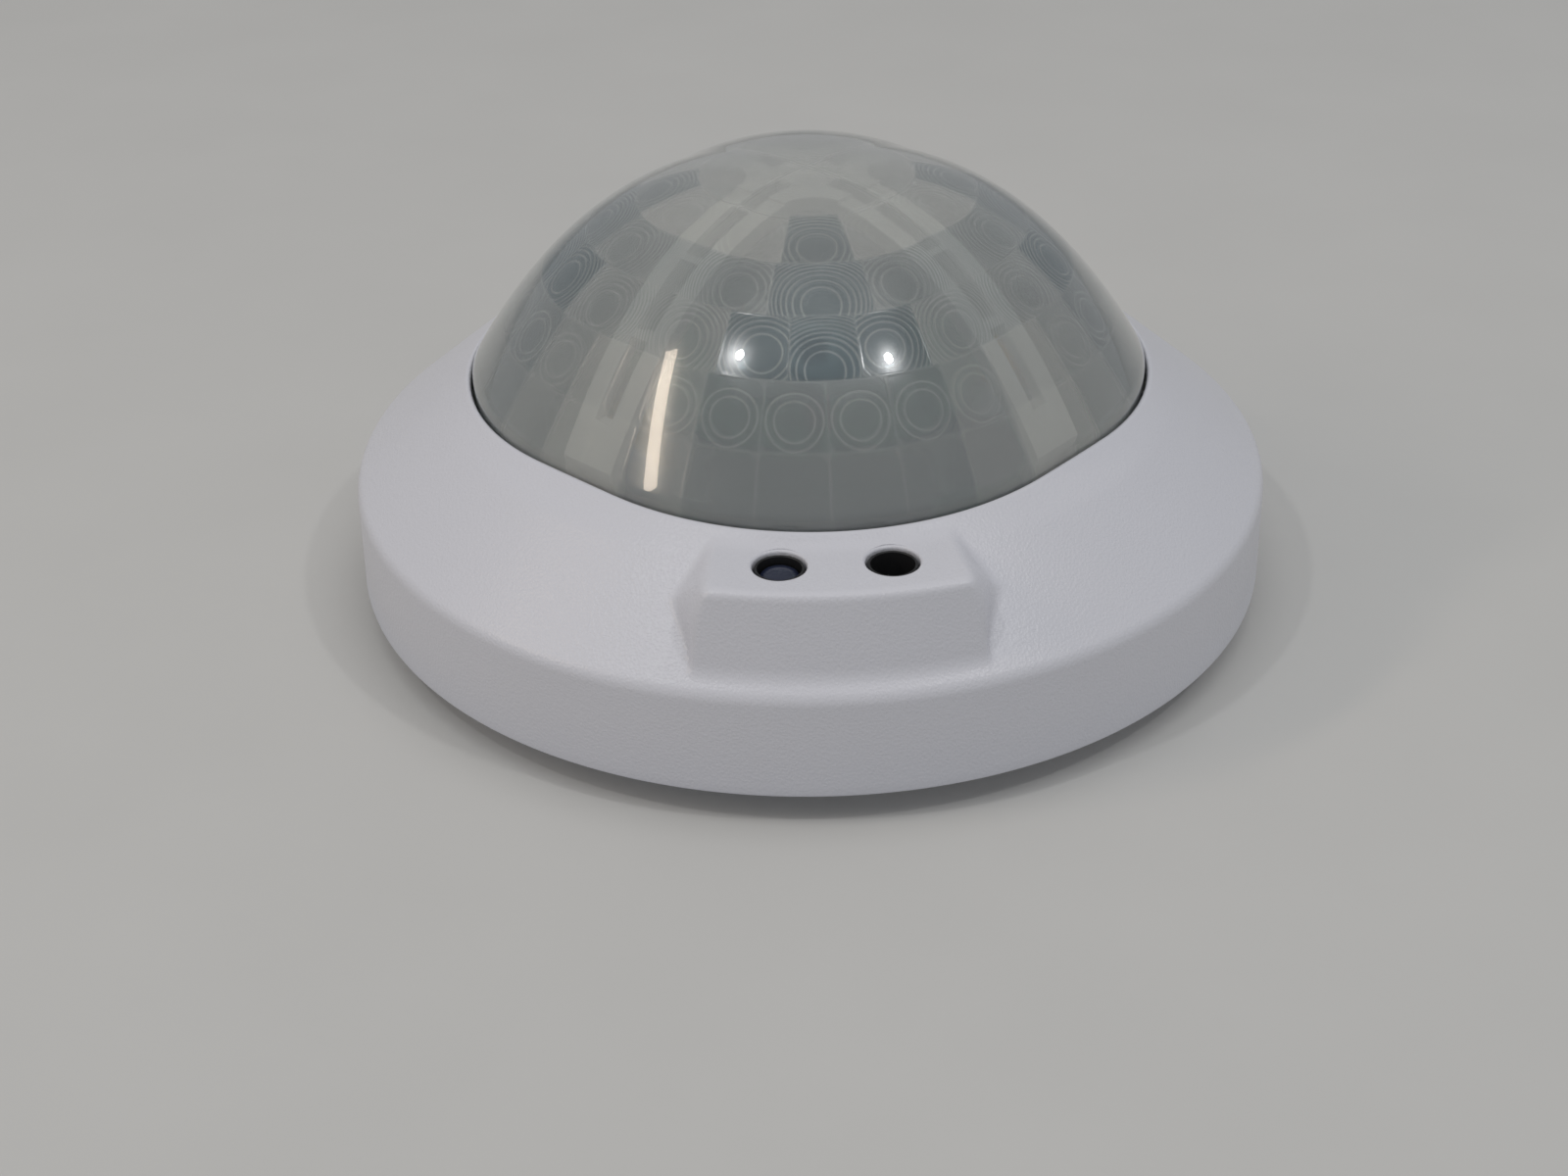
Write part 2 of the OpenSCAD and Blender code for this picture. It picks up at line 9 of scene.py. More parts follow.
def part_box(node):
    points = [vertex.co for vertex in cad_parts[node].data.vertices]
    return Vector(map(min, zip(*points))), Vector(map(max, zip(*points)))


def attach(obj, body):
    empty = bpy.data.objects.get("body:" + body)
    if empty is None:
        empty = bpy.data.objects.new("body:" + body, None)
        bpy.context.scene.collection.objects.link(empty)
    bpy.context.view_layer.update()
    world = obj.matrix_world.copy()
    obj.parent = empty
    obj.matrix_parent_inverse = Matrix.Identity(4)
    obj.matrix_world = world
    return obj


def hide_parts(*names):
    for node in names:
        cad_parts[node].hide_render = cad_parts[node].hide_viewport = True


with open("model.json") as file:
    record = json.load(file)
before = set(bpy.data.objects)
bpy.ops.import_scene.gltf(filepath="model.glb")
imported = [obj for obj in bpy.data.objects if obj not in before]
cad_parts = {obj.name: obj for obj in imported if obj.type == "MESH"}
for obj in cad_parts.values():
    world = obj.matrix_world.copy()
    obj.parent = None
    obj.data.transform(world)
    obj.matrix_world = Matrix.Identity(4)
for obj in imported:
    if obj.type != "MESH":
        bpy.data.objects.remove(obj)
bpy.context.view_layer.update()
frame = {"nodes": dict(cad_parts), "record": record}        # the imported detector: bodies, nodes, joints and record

bl_info = {
    "name": "Ceiling presence detector",
    "version": (1, 0, 0),
    "blender": (4, 5, 0),
    "location": "View3D > Sidebar > Detector",
    "description": "Builds the visible pieces and finishes of a ceiling presence detector",
    "category": "Object",
}

MM = 0.001
COVER_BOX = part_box("cover_ring")
LENS_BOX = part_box("lens_dome")
POD_SIDE = -math.pi / 2
CRISP_ANGLE = math.radians(32)       # an edge that bends more than this is shaded crisp
EASED_CRISP_ANGLE = math.radians(50)       # the same on pieces whose edges are rounded already


# ---- settings ----

class CoverSettings(bpy.types.PropertyGroup):
    """Sizes and finish of the white cover with its sensor pod"""

    radius: bpy.props.FloatProperty(
        name="Radius", description="Radius of the skirt at its lower edge",
        default=COVER_BOX[1].x, unit="LENGTH")
    wall: bpy.props.FloatProperty(
        name="Wall", description="Thickness of the moulded wall", default=2.2 * MM, unit="LENGTH")
    shoulder: bpy.props.FloatProperty(
        name="Shoulder", description="Radius of the edge between skirt and cone",
        default=2.2 * MM, unit="LENGTH")
    lip: bpy.props.FloatProperty(
        name="Lip", description="Radius of the edge round the lens opening",
        default=0.4 * MM, unit="LENGTH")
    pod_top: bpy.props.FloatProperty(
        name="Pod height", description="Height of the pod's flat top above the ceiling",
        default=29 * MM, unit="LENGTH")
    pod_half_width: bpy.props.FloatProperty(
        name="Pod half width", description="Half the width of the pod's top, 45 mm from the middle",
        default=14.2 * MM, unit="LENGTH")
    pod_front: bpy.props.FloatProperty(
        name="Pod reach", description="Distance of the pod's front wall from the middle",
        default=57.8 * MM, unit="LENGTH")
    hole_radius: bpy.props.FloatProperty(
        name="Hole radius", description="Radius of the two holes in the pod",
        default=3.15 * MM, unit="LENGTH")
    hole_pitch: bpy.props.FloatProperty(
        name="Hole pitch", description="Distance between the two holes", default=12.9 * MM,
        unit="LENGTH")
    hole_reach: bpy.props.FloatProperty(
        name="Hole reach", description="Distance of the two holes from the middle",
        default=49.2 * MM, unit="LENGTH")
    colour: bpy.props.FloatVectorProperty(
        name="Colour", description="Colour of the cover's plastic", default=(0.67, 0.67, 0.72),
        subtype="COLOR", min=0, max=1)
    grain: bpy.props.FloatProperty(
        name="Grain", description="Size of the spark-eroded texture's grains",
        default=0.28 * MM, unit="LENGTH")


class LensSettings(bpy.types.PropertyGroup):
    """Sizes and finish of the four-lobed lens"""

    reach: bpy.props.FloatProperty(
        name="Reach", description="Distance of a lobe's foot from the middle",
        default=43.6 * MM, unit="LENGTH")
    lobe_shift: bpy.props.FloatProperty(
        name="Lobe shift", description="Distance of each lobe's centre from the middle",
        default=6.5 * MM, unit="LENGTH")
    wall: bpy.props.FloatProperty(
        name="Wall", description="Thickness of the lens", default=1 * MM, unit="LENGTH")
    relief: bpy.props.FloatProperty(
        name="Relief", description="How far each lens segment bulges on the inner side",
        default=0.03 * MM, unit="LENGTH")
    first_ring: bpy.props.FloatProperty(
        name="First ring", description="Radius of the innermost ring of each segment",
        default=2.4 * MM, unit="LENGTH")
    # The deep and milky colours are painted shade and painted light: how the dark inside and the white frame look
    # through each segment
    painted_shade_colour: bpy.props.FloatVectorProperty(
        name="Deep colour", description="Colour of the segments that look dark",
        default=(0.21, 0.29, 0.33), subtype="COLOR", min=0, max=1)
    painted_light_colour: bpy.props.FloatVectorProperty(
        name="Milky colour", description="Colour of the segments that look milky",
        default=(0.98, 0.97, 0.93), subtype="COLOR", min=0, max=1)


class PartSettings(bpy.types.PropertyGroup):
    """Colours of the hidden parts"""

    frame_colour: bpy.props.FloatVectorProperty(
        name="Frame", description="Colour of the front and lens frames",
        default=(0.95, 0.95, 0.91), subtype="COLOR", min=0, max=1)
    base_colour: bpy.props.FloatVectorProperty(
        name="Base", description="Colour of the base plate and the back cover",
        default=(0.66, 0.66, 0.67), subtype="COLOR", min=0, max=1)
    knob_colour: bpy.props.FloatVectorProperty(
        name="Knobs", description="Colour of the setting knobs", default=(0.80, 0.25, 0.03),
        subtype="COLOR", min=0, max=1)
    button_colour: bpy.props.FloatVectorProperty(
        name="Button", description="Colour of the test button", default=(0.50, 0.03, 0.02),
        subtype="COLOR", min=0, max=1)
    board_colour: bpy.props.FloatVectorProperty(
        name="Boards", description="Colour of the boards' solder mask",
        default=(0.02, 0.13, 0.06), subtype="COLOR", min=0, max=1)


class StageSettings(bpy.types.PropertyGroup):
    """Floor and studio light"""

    floor_colour: bpy.props.FloatVectorProperty(
        name="Floor", description="Colour of the floor", default=(0.60, 0.595, 0.58),
        subtype="COLOR", min=0, max=1)
    floor_radius: bpy.props.FloatProperty(
        name="Floor radius", description="Radius of the floor", default=6, unit="LENGTH")
    sky: bpy.props.FloatProperty(
        name="Sky", description="Strength of the even light from all sides", default=0.36)
    softbox_power: bpy.props.FloatProperty(
        name="Softbox", description="Power of the large light overhead", default=4.2, unit="POWER")
    lamp_power: bpy.props.FloatProperty(
        name="Lamps", description="Power of each of the two small lamps", default=0.8,
        unit="POWER")
    strip_power: bpy.props.FloatProperty(
        name="Strip", description="Power of the long narrow light on the left", default=1.2,
        unit="POWER")


# ---- shader nodes ----

class ShaderTree:
    """Adds nodes to a shader tree, with values or links on their inputs"""

    def __init__(self, tree):
        self.tree = tree

    def feed(self, socket, value):
        if isinstance(value, bpy.types.NodeSocket):
            self.tree.links.new(value, socket)
        elif hasattr(value, "__len__") and len(value) == 3 and len(socket.default_value) == 4:
            socket.default_value = (*value, 1)
        else:
            socket.default_value = value

    def node(self, kind, inputs=None, **settings):
        made = self.tree.nodes.new(kind)
        for key, value in settings.items():
            setattr(made, key, value)
        for key, value in (inputs or {}).items():
            self.feed(made.inputs[key], value)
        return made

    def math(self, operation, *values):
        made = self.node("ShaderNodeMath", operation=operation)
        for socket, value in zip(made.inputs, values):
            self.feed(socket, value)
        return made.outputs[0]

    def ramp(self, value, start, end, low=0.0, high=1.0):
        """A smooth step of value from low at start to high at end"""
        made = self.node("ShaderNodeMapRange", interpolation_type="SMOOTHSTEP")
        for socket, number in zip(made.inputs, (value, start, end, low, high)):
            self.feed(socket, number)
        return made.outputs[0]

    def mix(self, factor, first, second, blend="MIX"):
        made = self.node("ShaderNodeMix", data_type="RGBA", blend_type=blend)
        for index, value in ((0, factor), (6, first), (7, second)):
            self.feed(made.inputs[index], value)
        return made.outputs[2]

    def noise(self, size, vector, detail=2.0):
        """Noise between 0 and 1 whose features are about size across"""
        scale = self.math("DIVIDE", 1.0, size)
        return self.node("ShaderNodeTexNoise", {"Vector": vector, "Scale": scale,
                                                "Detail": detail}).outputs[0]

    def object_place(self):
        return self.node("ShaderNodeTexCoord").outputs["Object"]


def new_group(name, inputs, outputs):
    """A node group with named sockets: its tree, what comes in and what goes out"""
    group = bpy.data.node_groups.new(name, "ShaderNodeTree")
    for label, kind, value in inputs:
        socket = group.interface.new_socket(name=label, in_out="INPUT", socket_type=kind)
        socket.default_value = value
    for label, kind in outputs:
        group.interface.new_socket(name=label, in_out="OUTPUT", socket_type=kind)
    tree = ShaderTree(group)
    return tree, tree.node("NodeGroupInput").outputs, tree.node("NodeGroupOutput").inputs


FLOAT, COLOUR = "NodeSocketFloat", "NodeSocketColor"


def moulded_group():
    """Moulded plastic: fine grain, slow drift of tone, and a little settled dust"""
    name = "moulded_surface"
    if name in bpy.data.node_groups:
        return bpy.data.node_groups[name]
    tree, given, put = new_group(
        name,
        [("Colour", COLOUR, (0.8, 0.8, 0.8, 1)), ("Roughness", FLOAT, 0.45),
         ("Grain size", FLOAT, 0.2 * MM), ("Drift", FLOAT, 0.04)],
        [("Colour", COLOUR), ("Roughness", FLOAT), ("Height", FLOAT)])
    place = tree.object_place()
    grain = tree.noise(given["Grain size"], place, 1.5)
    pits = tree.node("ShaderNodeTexVoronoi", {
        "Vector": place, "Scale": tree.math("DIVIDE", 0.7, given["Grain size"])}).outputs[0]
    slow = tree.noise(24 * MM, place, 3.0)
    patches = tree.noise(6 * MM, place, 4.0)
    specks = tree.ramp(tree.noise(0.9 * MM, place, 1.0), 0.74, 0.8)
    shade = tree.math("MULTIPLY", tree.math("SUBTRACT", slow, 0.5), given["Drift"])
    tint = tree.node("ShaderNodeHueSaturation", {
        "Color": given["Colour"], "Value": tree.math("ADD", 1.0, shade)}).outputs[0]
    dusty = tree.mix(tree.math("MULTIPLY", specks, given["Drift"]), tint, (0.35, 0.33, 0.3))
    tree.feed(put["Colour"], dusty)
    wander = tree.math("MULTIPLY", tree.math("SUBTRACT", patches, 0.5), 0.12)
    tree.feed(put["Roughness"], tree.math("ADD", given["Roughness"], wander))
    tree.feed(put["Height"], tree.math("ADD", tree.math("MULTIPLY", grain, 0.7),
                                       tree.math("MULTIPLY", pits, 0.5)))
    return tree.tree


def metal_group():
    """Drawn or plated metal: fine streaks along one direction and slow tarnish"""
    name = "metal_surface"
    if name in bpy.data.node_groups:
        return bpy.data.node_groups[name]
    tree, given, put = new_group(
        name,
        [("Colour", COLOUR, (0.7, 0.7, 0.7, 1)), ("Roughness", FLOAT, 0.3),
         ("Streak", FLOAT, 0.12 * MM)],
        [("Colour", COLOUR), ("Roughness", FLOAT), ("Height", FLOAT)])
    stretched = tree.node("ShaderNodeMapping", {
        "Vector": tree.object_place(), "Scale": (1.0, 1.0, 0.08)}).outputs[0]
    streaks = tree.noise(given["Streak"], stretched, 2.0)
    tarnish = tree.noise(2.5 * MM, tree.object_place(), 3.0)
    dull = tree.ramp(tarnish, 0.45, 0.7, 1.0, 0.82)
    tree.feed(put["Colour"], tree.mix(1.0, given["Colour"], dull, "MULTIPLY"))
    tree.feed(put["Roughness"], tree.math("ADD", given["Roughness"],
                                          tree.math("MULTIPLY", streaks, 0.12)))
    tree.feed(put["Height"], streaks)
    return tree.tree


def made_finish(name):
    """The finish of that name, if it is there already"""
    return bpy.data.materials.get(name + "_finish")


def new_material(name):
    """An empty node material and its tree and Principled shader"""
    material = bpy.data.materials.new(name + "_finish")
    material.use_nodes = True
    material.node_tree.nodes.clear()
    tree = ShaderTree(material.node_tree)
    shader = tree.node("ShaderNodeBsdfPrincipled")
    tree.node("ShaderNodeOutputMaterial", {"Surface": shader.outputs[0]})
    return material, tree, shader


def surface_on(tree, shader, group, values, bump):
    """Puts a surface group on the shader's colour, roughness and normal"""
    surface = tree.node("ShaderNodeGroup", node_tree=group)
    for key, value in values.items():
        tree.feed(surface.inputs[key], value)
    tree.feed(shader.inputs["Base Color"], surface.outputs["Colour"])
    tree.feed(shader.inputs["Roughness"], surface.outputs["Roughness"])
    relief = tree.node("ShaderNodeBump", {
        "Height": surface.outputs["Height"], "Strength": 1.0, "Distance": bump})
    tree.feed(shader.inputs["Normal"], relief.outputs[0])


def plastic(name, colour, roughness=0.45, grain=0.2 * MM, bump=0.012 * MM, drift=0.05, coat=0.0):
    """A moulded plastic of one colour"""
    if made_finish(name):
        return made_finish(name)
    material, tree, shader = new_material(name)
    shader.inputs["Coat Weight"].default_value = coat
    shader.inputs["Coat Roughness"].default_value = 0.08
    surface_on(tree, shader, moulded_group(), {
        "Colour": colour, "Roughness": roughness, "Grain size": grain, "Drift": drift}, bump)
    return material


def metal(name, colour, roughness=0.28, streak=0.12 * MM):
    """A metal with fine streaks"""
    if made_finish(name):
        return made_finish(name)
    material, tree, shader = new_material(name)
    shader.inputs["Metallic"].default_value = 1.0
    surface_on(tree, shader, metal_group(), {
        "Colour": colour, "Roughness": roughness, "Streak": streak}, 0.004 * MM)
    return material


def banded(name, first, second, axis, start, end, **finish):
    """A plastic that takes the second colour where the place along axis is from start to end"""
    if made_finish(name):
        return made_finish(name)
    material = plastic(name, first, **finish)
    tree = ShaderTree(material.node_tree)
    surface = next(n for n in tree.tree.nodes if n.type == "GROUP")
    place = tree.node("ShaderNodeSeparateXYZ", {"Vector": tree.object_place()}).outputs[axis]
    above = tree.ramp(place, start - 0.05 * MM, start + 0.05 * MM)
    below = tree.ramp(place, end - 0.05 * MM, end + 0.05 * MM, 1.0, 0.0)
    band = tree.math("MULTIPLY", above, below)
    tree.feed(surface.inputs["Colour"], tree.mix(band, first, second))
    return material


def board_laminate(colour):
    """Glass-fibre board: solder mask over a woven base, with copper tracks that show through"""
    material, tree, shader = new_material("board_laminate")
    place = tree.object_place()
    tracks = tree.node("ShaderNodeTexVoronoi", {"Vector": place, "Scale": 1 / (4.5 * MM)},
                       feature="DISTANCE_TO_EDGE", distance="MANHATTAN").outputs[0]
    copper = tree.ramp(tracks, 0.06, 0.09, 1.0, 0.0)
    across = tree.node("ShaderNodeTexWave", {"Vector": place, "Scale": 1 / (9 * MM)},
                       bands_direction="X").outputs[1]
    along = tree.node("ShaderNodeTexWave", {"Vector": place, "Scale": 1 / (9 * MM)},
                      bands_direction="Y").outputs[1]
    weave = tree.math("MULTIPLY", across, along)
    mask = tree.mix(copper, colour, [min(1, 1.9 * c + 0.02) for c in colour])
    tree.feed(shader.inputs["Base Color"], tree.mix(tree.math("MULTIPLY", weave, 0.15), mask,
                                                    (0.05, 0.25, 0.12)))
    tree.feed(shader.inputs["Roughness"], tree.ramp(weave, 0, 1, 0.24, 0.36))
    height = tree.math("ADD", copper, tree.math("MULTIPLY", weave, 0.2))
    relief = tree.node("ShaderNodeBump", {"Height": height, "Strength": 1.0,
                                          "Distance": 0.02 * MM})
    tree.feed(shader.inputs["Normal"], relief.outputs[0])
    return material


def foam(name, colour):
    """Closed-cell foam: coarse open pores"""
    material, tree, shader = new_material(name)
    pores = tree.node("ShaderNodeTexVoronoi", {
        "Vector": tree.object_place(), "Scale": 1 / (0.35 * MM)}).outputs[0]
    tree.feed(shader.inputs["Base Color"], tree.mix(tree.ramp(pores, 0.2, 0.7), colour,
                                                    [2 * c for c in colour]))
    shader.inputs["Roughness"].default_value = 0.95
    relief = tree.node("ShaderNodeBump", {"Height": pores, "Strength": 1.0,
                                          "Distance": 0.06 * MM})
    tree.feed(shader.inputs["Normal"], relief.outputs[0])
    return material


def lens_plastic(lens):
    """Milky lens plastic, glossy outside, each segment painted with the shade and light of the inside seen through
    it, and the segments' borders and rings showing through as painted highlight lines
    """
    material, tree, shader = new_material("lens_plastic")
    first = lens.first_ring / MM
    offset = tree.node("ShaderNodeUVMap", uv_map="ring_offset").outputs[0]
    reach = tree.node("ShaderNodeVectorMath", {0: offset}, operation="LENGTH").outputs[1]
    # Each segment's painted light level: low paints the shade of the dark inside, high the light of the white frame
    # behind it
    tone = tree.node("ShaderNodeAttribute", attribute_name="segment_tone").outputs["Fac"]
    limit = tree.node("ShaderNodeAttribute", attribute_name="ring_limit").outputs["Fac"]
    gap = tree.node("ShaderNodeAttribute", attribute_name="border_gap").outputs["Fac"]
    turns = tree.math("DIVIDE", tree.math("MULTIPLY", reach, reach), first * first)
    off_ring = tree.math("ABSOLUTE", tree.math("SUBTRACT", turns, tree.math("ROUND", turns)))
    ring_gap = tree.math("DIVIDE", tree.math("MULTIPLY", off_ring, first * first / 2),
                         tree.math("MAXIMUM", reach, 0.5))
    inside = tree.math("MULTIPLY", tree.math("LESS_THAN", reach, limit),
                       tree.math("GREATER_THAN", turns, 0.5))
    ring = tree.math("MULTIPLY", tree.ramp(ring_gap, 0.04, 0.2, 1.0, 0.0), inside)
    border = tree.ramp(gap, 0.05, 0.3, 1.0, 0.0)
    # The rings and borders are real grooves, given in the bump below; their pale lines in the colour are painted
    # highlight where the facets catch the light
    painted_highlight_lines = tree.math("MAXIMUM", tree.math("MULTIPLY", ring, 0.45),
                      tree.math("MULTIPLY", border, 0.18))
    # The mix paints the inside's shade and light per segment, with a random cloud over it
    cloud = tree.noise(14 * MM, tree.object_place(), 3.0)
    painted_light_and_cloud = tree.math("ADD", tone, tree.math("MULTIPLY", tree.math("SUBTRACT", cloud, 0.5), 0.16))
    body = tree.mix(painted_light_and_cloud, lens.painted_shade_colour, lens.painted_light_colour)
    # Pale painted highlight on the rings and borders over the segment colour
    tree.feed(shader.inputs["Base Color"], tree.mix(painted_highlight_lines, body, (0.97, 0.98, 0.95)))
    shader.inputs["Roughness"].default_value = 0.18
    shader.inputs["IOR"].default_value = 1.5
    shader.inputs["Transmission Weight"].default_value = 0.73
    shader.inputs["Coat Weight"].default_value = 1.0
    shader.inputs["Coat Roughness"].default_value = 0.02
    step = tree.math("MULTIPLY", tree.math("FRACT", turns), inside)
    relief = tree.node("ShaderNodeBump", {"Height": tree.math("ADD", step, border),
                                          "Strength": 0.28, "Distance": 0.05 * MM})
    tree.feed(shader.inputs["Normal"], relief.outputs[0])
    return material


def tinted_resin(name, colour, roughness=0.12):
    """Clear or dark resin with a glossy skin and faint flow marks"""
    if made_finish(name):
        return made_finish(name)
    material, tree, shader = new_material(name)
    flow = tree.noise(1.5 * MM, tree.object_place(), 2.0)
    deeper = [0.75 * c for c in colour]
    tree.feed(shader.inputs["Base Color"], tree.mix(flow, colour, deeper))
    tree.feed(shader.inputs["Roughness"], tree.ramp(flow, 0.3, 0.7, roughness, roughness + 0.08))
    shader.inputs["Coat Weight"].default_value = 0.6
    shader.inputs["Coat Roughness"].default_value = 0.05
    relief = tree.node("ShaderNodeBump", {"Height": flow, "Strength": 0.4,
                                          "Distance": 0.02 * MM})
    tree.feed(shader.inputs["Normal"], relief.outputs[0])
    return material


def black_plastic():
    return plastic("black_plastic", (0.015, 0.015, 0.016), 0.42, 0.2 * MM, 0.01 * MM)


def spacer_nylon():
    return plastic("spacer_nylon", (0.72, 0.71, 0.64), 0.4, 0.5 * MM, 0.008 * MM)


def zinc_steel():
    return metal("zinc_steel", (0.62, 0.64, 0.66))


def filter_glass():
    return tinted_resin("filter_glass", (0.012, 0.012, 0.014))


# ---- meshes ----

def spun(points, steps):
    """A closed outline of (radius, height) points, turned once round the Z axis"""
    bm = bmesh.new()
    verts = [bm.verts.new((r, 0, z)) for r, z in points]
    edges = [bm.edges.new(pair) for pair in zip(verts, verts[1:])]
    if points[0][0] > 0 or points[-1][0] > 0:
        edges.append(bm.edges.new((verts[-1], verts[0])))
    bmesh.ops.spin(bm, geom=verts + edges, cent=(0, 0, 0), axis=(0, 0, 1), dvec=(0, 0, 0),
                   angle=2 * math.pi, steps=steps, use_merge=True)
    bmesh.ops.remove_doubles(bm, verts=bm.verts, dist=0.0005 * MM)
    bmesh.ops.recalc_face_normals(bm, faces=bm.faces)
    return bm


def piece_from(bm, name, material, sharp=CRISP_ANGLE):
    """A smooth-shaded object from the bmesh, with its hard edges marked"""
    for face in bm.faces:
        face.smooth = True
    for edge in bm.edges:
        edge.smooth = edge.calc_face_angle(0) < sharp
    mesh = bpy.data.meshes.new(name)
    bm.to_mesh(mesh)
    bm.free()
    piece = bpy.data.objects.new(name, mesh)
    bpy.context.scene.collection.objects.link(piece)
    mesh.materials.append(material)
    return piece


def settle(piece, body, slot, *nodes):
    """The piece rides on its body and stands for the CAD nodes"""
    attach(piece, body)
    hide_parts(*nodes)


def body_of_node(node):
    bodies = frame["record"]["behaviour"]["bodies"]
    return next(body for body, nodes in bodies.items() if node in nodes)


def slot_of_node(node):
    return next(s["material_slot"] for s in frame["record"]["subparts"] if s["node"] == node)


def eased_copy(node, width, material, segments=2):
    """A merged copy of a CAD node whose hard edges are rounded, which stands for the node"""
    bm = bmesh.new()
    bm.from_mesh(frame["nodes"][node].data)
    bmesh.ops.remove_doubles(bm, verts=bm.verts, dist=0.002 * MM)
    bmesh.ops.dissolve_limit(bm, angle_limit=math.radians(0.5), verts=bm.verts, edges=bm.edges,
                             use_dissolve_boundaries=False)
    hard = [e for e in bm.edges if e.is_manifold and e.calc_face_angle(0) > math.radians(40)]
    bmesh.ops.bevel(bm, geom=hard, offset=width, offset_type="OFFSET", segments=segments,
                    profile=0.5, affect="EDGES", clamp_overlap=True, material=-1)
    piece = piece_from(bm, node + "_moulding", material, EASED_CRISP_ANGLE)
    piece.modifiers.new("Face normals", "WEIGHTED_NORMAL").keep_sharp = True
    settle(piece, body_of_node(node), slot_of_node(node), node)


def arc_points(centre, radius, start, end, steps):
    """Points of an arc in the outline's plane, from angle start to end in degrees"""
    turns = [math.radians(start + (end - start) * i / steps) for i in range(steps + 1)]
    return [(centre[0] + radius * math.cos(t), centre[1] + radius * math.sin(t)) for t in turns]


def line_points(start, end, steps):
    """Points from start to end, without the two ends"""
    return [(start[0] + (end[0] - start[0]) * i / steps, start[1] + (end[1] - start[1]) * i / steps)
            for i in range(1, steps)]


def cut(piece, tool, operation):
    """Applies a boolean of the tool to the piece's mesh, and removes the tool"""
    boolean = piece.modifiers.new("Cut", "BOOLEAN")
    boolean.operation = operation
    boolean.solver = "EXACT"
    boolean.object = tool
    bpy.context.view_layer.update()
    shape = piece.evaluated_get(bpy.context.evaluated_depsgraph_get())
    mesh = bpy.data.meshes.new_from_object(shape)
    piece.modifiers.clear()
    old = piece.data
    piece.data = mesh
    bpy.data.meshes.remove(old)
    bpy.data.objects.remove(tool)
    mesh.name = piece.name
    mesh.set_sharp_from_angle(angle=CRISP_ANGLE)


# ---- cover ----

CONE_NORMAL = Vector((0.6457, 0.7636))
CONE_START = Vector((58.92 * MM, 18.0 * MM))
LIP_RADIUS = 43.95 * MM
LENS_CLEARANCE = 0.15 * MM


def smooth_min(a, b, blend):
    """The smaller of two values, blended where they are close"""
    overlap = max(blend - abs(a - b), 0) / blend
    return min(a, b) - overlap * overlap * blend / 4


def pod_lift(cover, r, z, turn, inset):
    """How far the pod stands out of the cone at a place, measured square to the cone"""
    if math.cos(turn) <= 0:
        return 0
    front_slope, widening = 0.18, 0.13
    shoulder_z, width_at, steep_at = 19 * MM, 45 * MM, 55 * MM
    front_side_slope, slope_growth, most_slope = 0.17, 0.014, 0.85
    corner_blend, top_blend, foot_blend = 2.2 * MM, 1.2 * MM, 0.8 * MM
    sine, cosine = abs(math.sin(turn)), math.cos(turn)
    flare = max(steep_at - r * cosine, 0) / MM
    side_slope = min(front_side_slope + slope_growth * flare * flare, most_slope)
    top = (cover.pod_top - inset - z) / CONE_NORMAL.y
    front = ((cover.pod_front - inset - front_slope * (z - shoulder_z) - r)
             / (CONE_NORMAL.x + front_slope * CONE_NORMAL.y))
    half = cover.pod_half_width - inset + widening * (r * cosine - width_at)
    side = ((half + side_slope * (cover.pod_top - z) - r * sine)
            / (CONE_NORMAL.x * (sine - widening * cosine) + side_slope * CONE_NORMAL.y))
    lift = smooth_min(smooth_min(front, side, corner_blend), top, top_blend)
    return -smooth_min(-lift, 0, foot_blend)


def cover_outline(cover):
    """The cover's wall as a closed outline: up the outer side, over the lip and down inside"""
    foot_z = COVER_BOX[0].z
    shoulder = (cover.radius - 0.25 * MM - cover.shoulder, 16.28 * MM)
    foot_round = 0.4 * MM
    tilt = math.degrees(math.atan2(CONE_NORMAL.y, CONE_NORMAL.x))
    level = CONE_NORMAL.dot(CONE_START)
    lip_x = LIP_RADIUS + cover.lip
    lip = (lip_x, (level - cover.lip - CONE_NORMAL.x * lip_x) / CONE_NORMAL.y)
    shoulder_arc = arc_points(shoulder, cover.shoulder, 0, tilt, 9)
    lip_arc = arc_points(lip, cover.lip, tilt, 180, 6)
    inner_level = level - cover.wall
    lip_foot = (LIP_RADIUS, (inner_level - CONE_NORMAL.x * LIP_RADIUS) / CONE_NORMAL.y)
    inner_r = cover.radius - cover.wall
    bend_r = inner_r - 0.25 * MM
    bend = (bend_r, (inner_level - CONE_NORMAL.x * bend_r) / CONE_NORMAL.y)
    points = arc_points((cover.radius - foot_round, foot_z + foot_round), foot_round, -90, 0, 4)
    points += line_points(points[-1], shoulder_arc[0], 10) + shoulder_arc
    points += line_points(shoulder_arc[-1], lip_arc[0], 66) + lip_arc
    points += line_points(lip_arc[-1], lip_foot, 4) + [lip_foot]
    points += line_points(lip_foot, bend, 34) + [bend]
    points += line_points(bend, (inner_r, foot_z + foot_round), 6)
    points += arc_points((inner_r + foot_round, foot_z + foot_round), foot_round, 180, 270, 3)
    return points


def outline_reach(lens, r, turn):
    """Distance of the four-lobed outline from the middle, for a lobe that reaches r"""
    shift = lens.lobe_shift
    if r < lens.reach:
        shift = min(shift * (r / lens.reach) ** 0.474, 0.4 * r)
    share = abs((turn + math.pi / 4) % (math.pi / 2) / (math.pi / 4) - 1)
    fold = math.pi / 4 * smooth_min(share, 2 - share, 0.1 + 0.3 * r / lens.reach)
    own = r - shift
    return shift * math.cos(fold) + math.sqrt(max(own * own - (shift * math.sin(fold)) ** 2, 0))


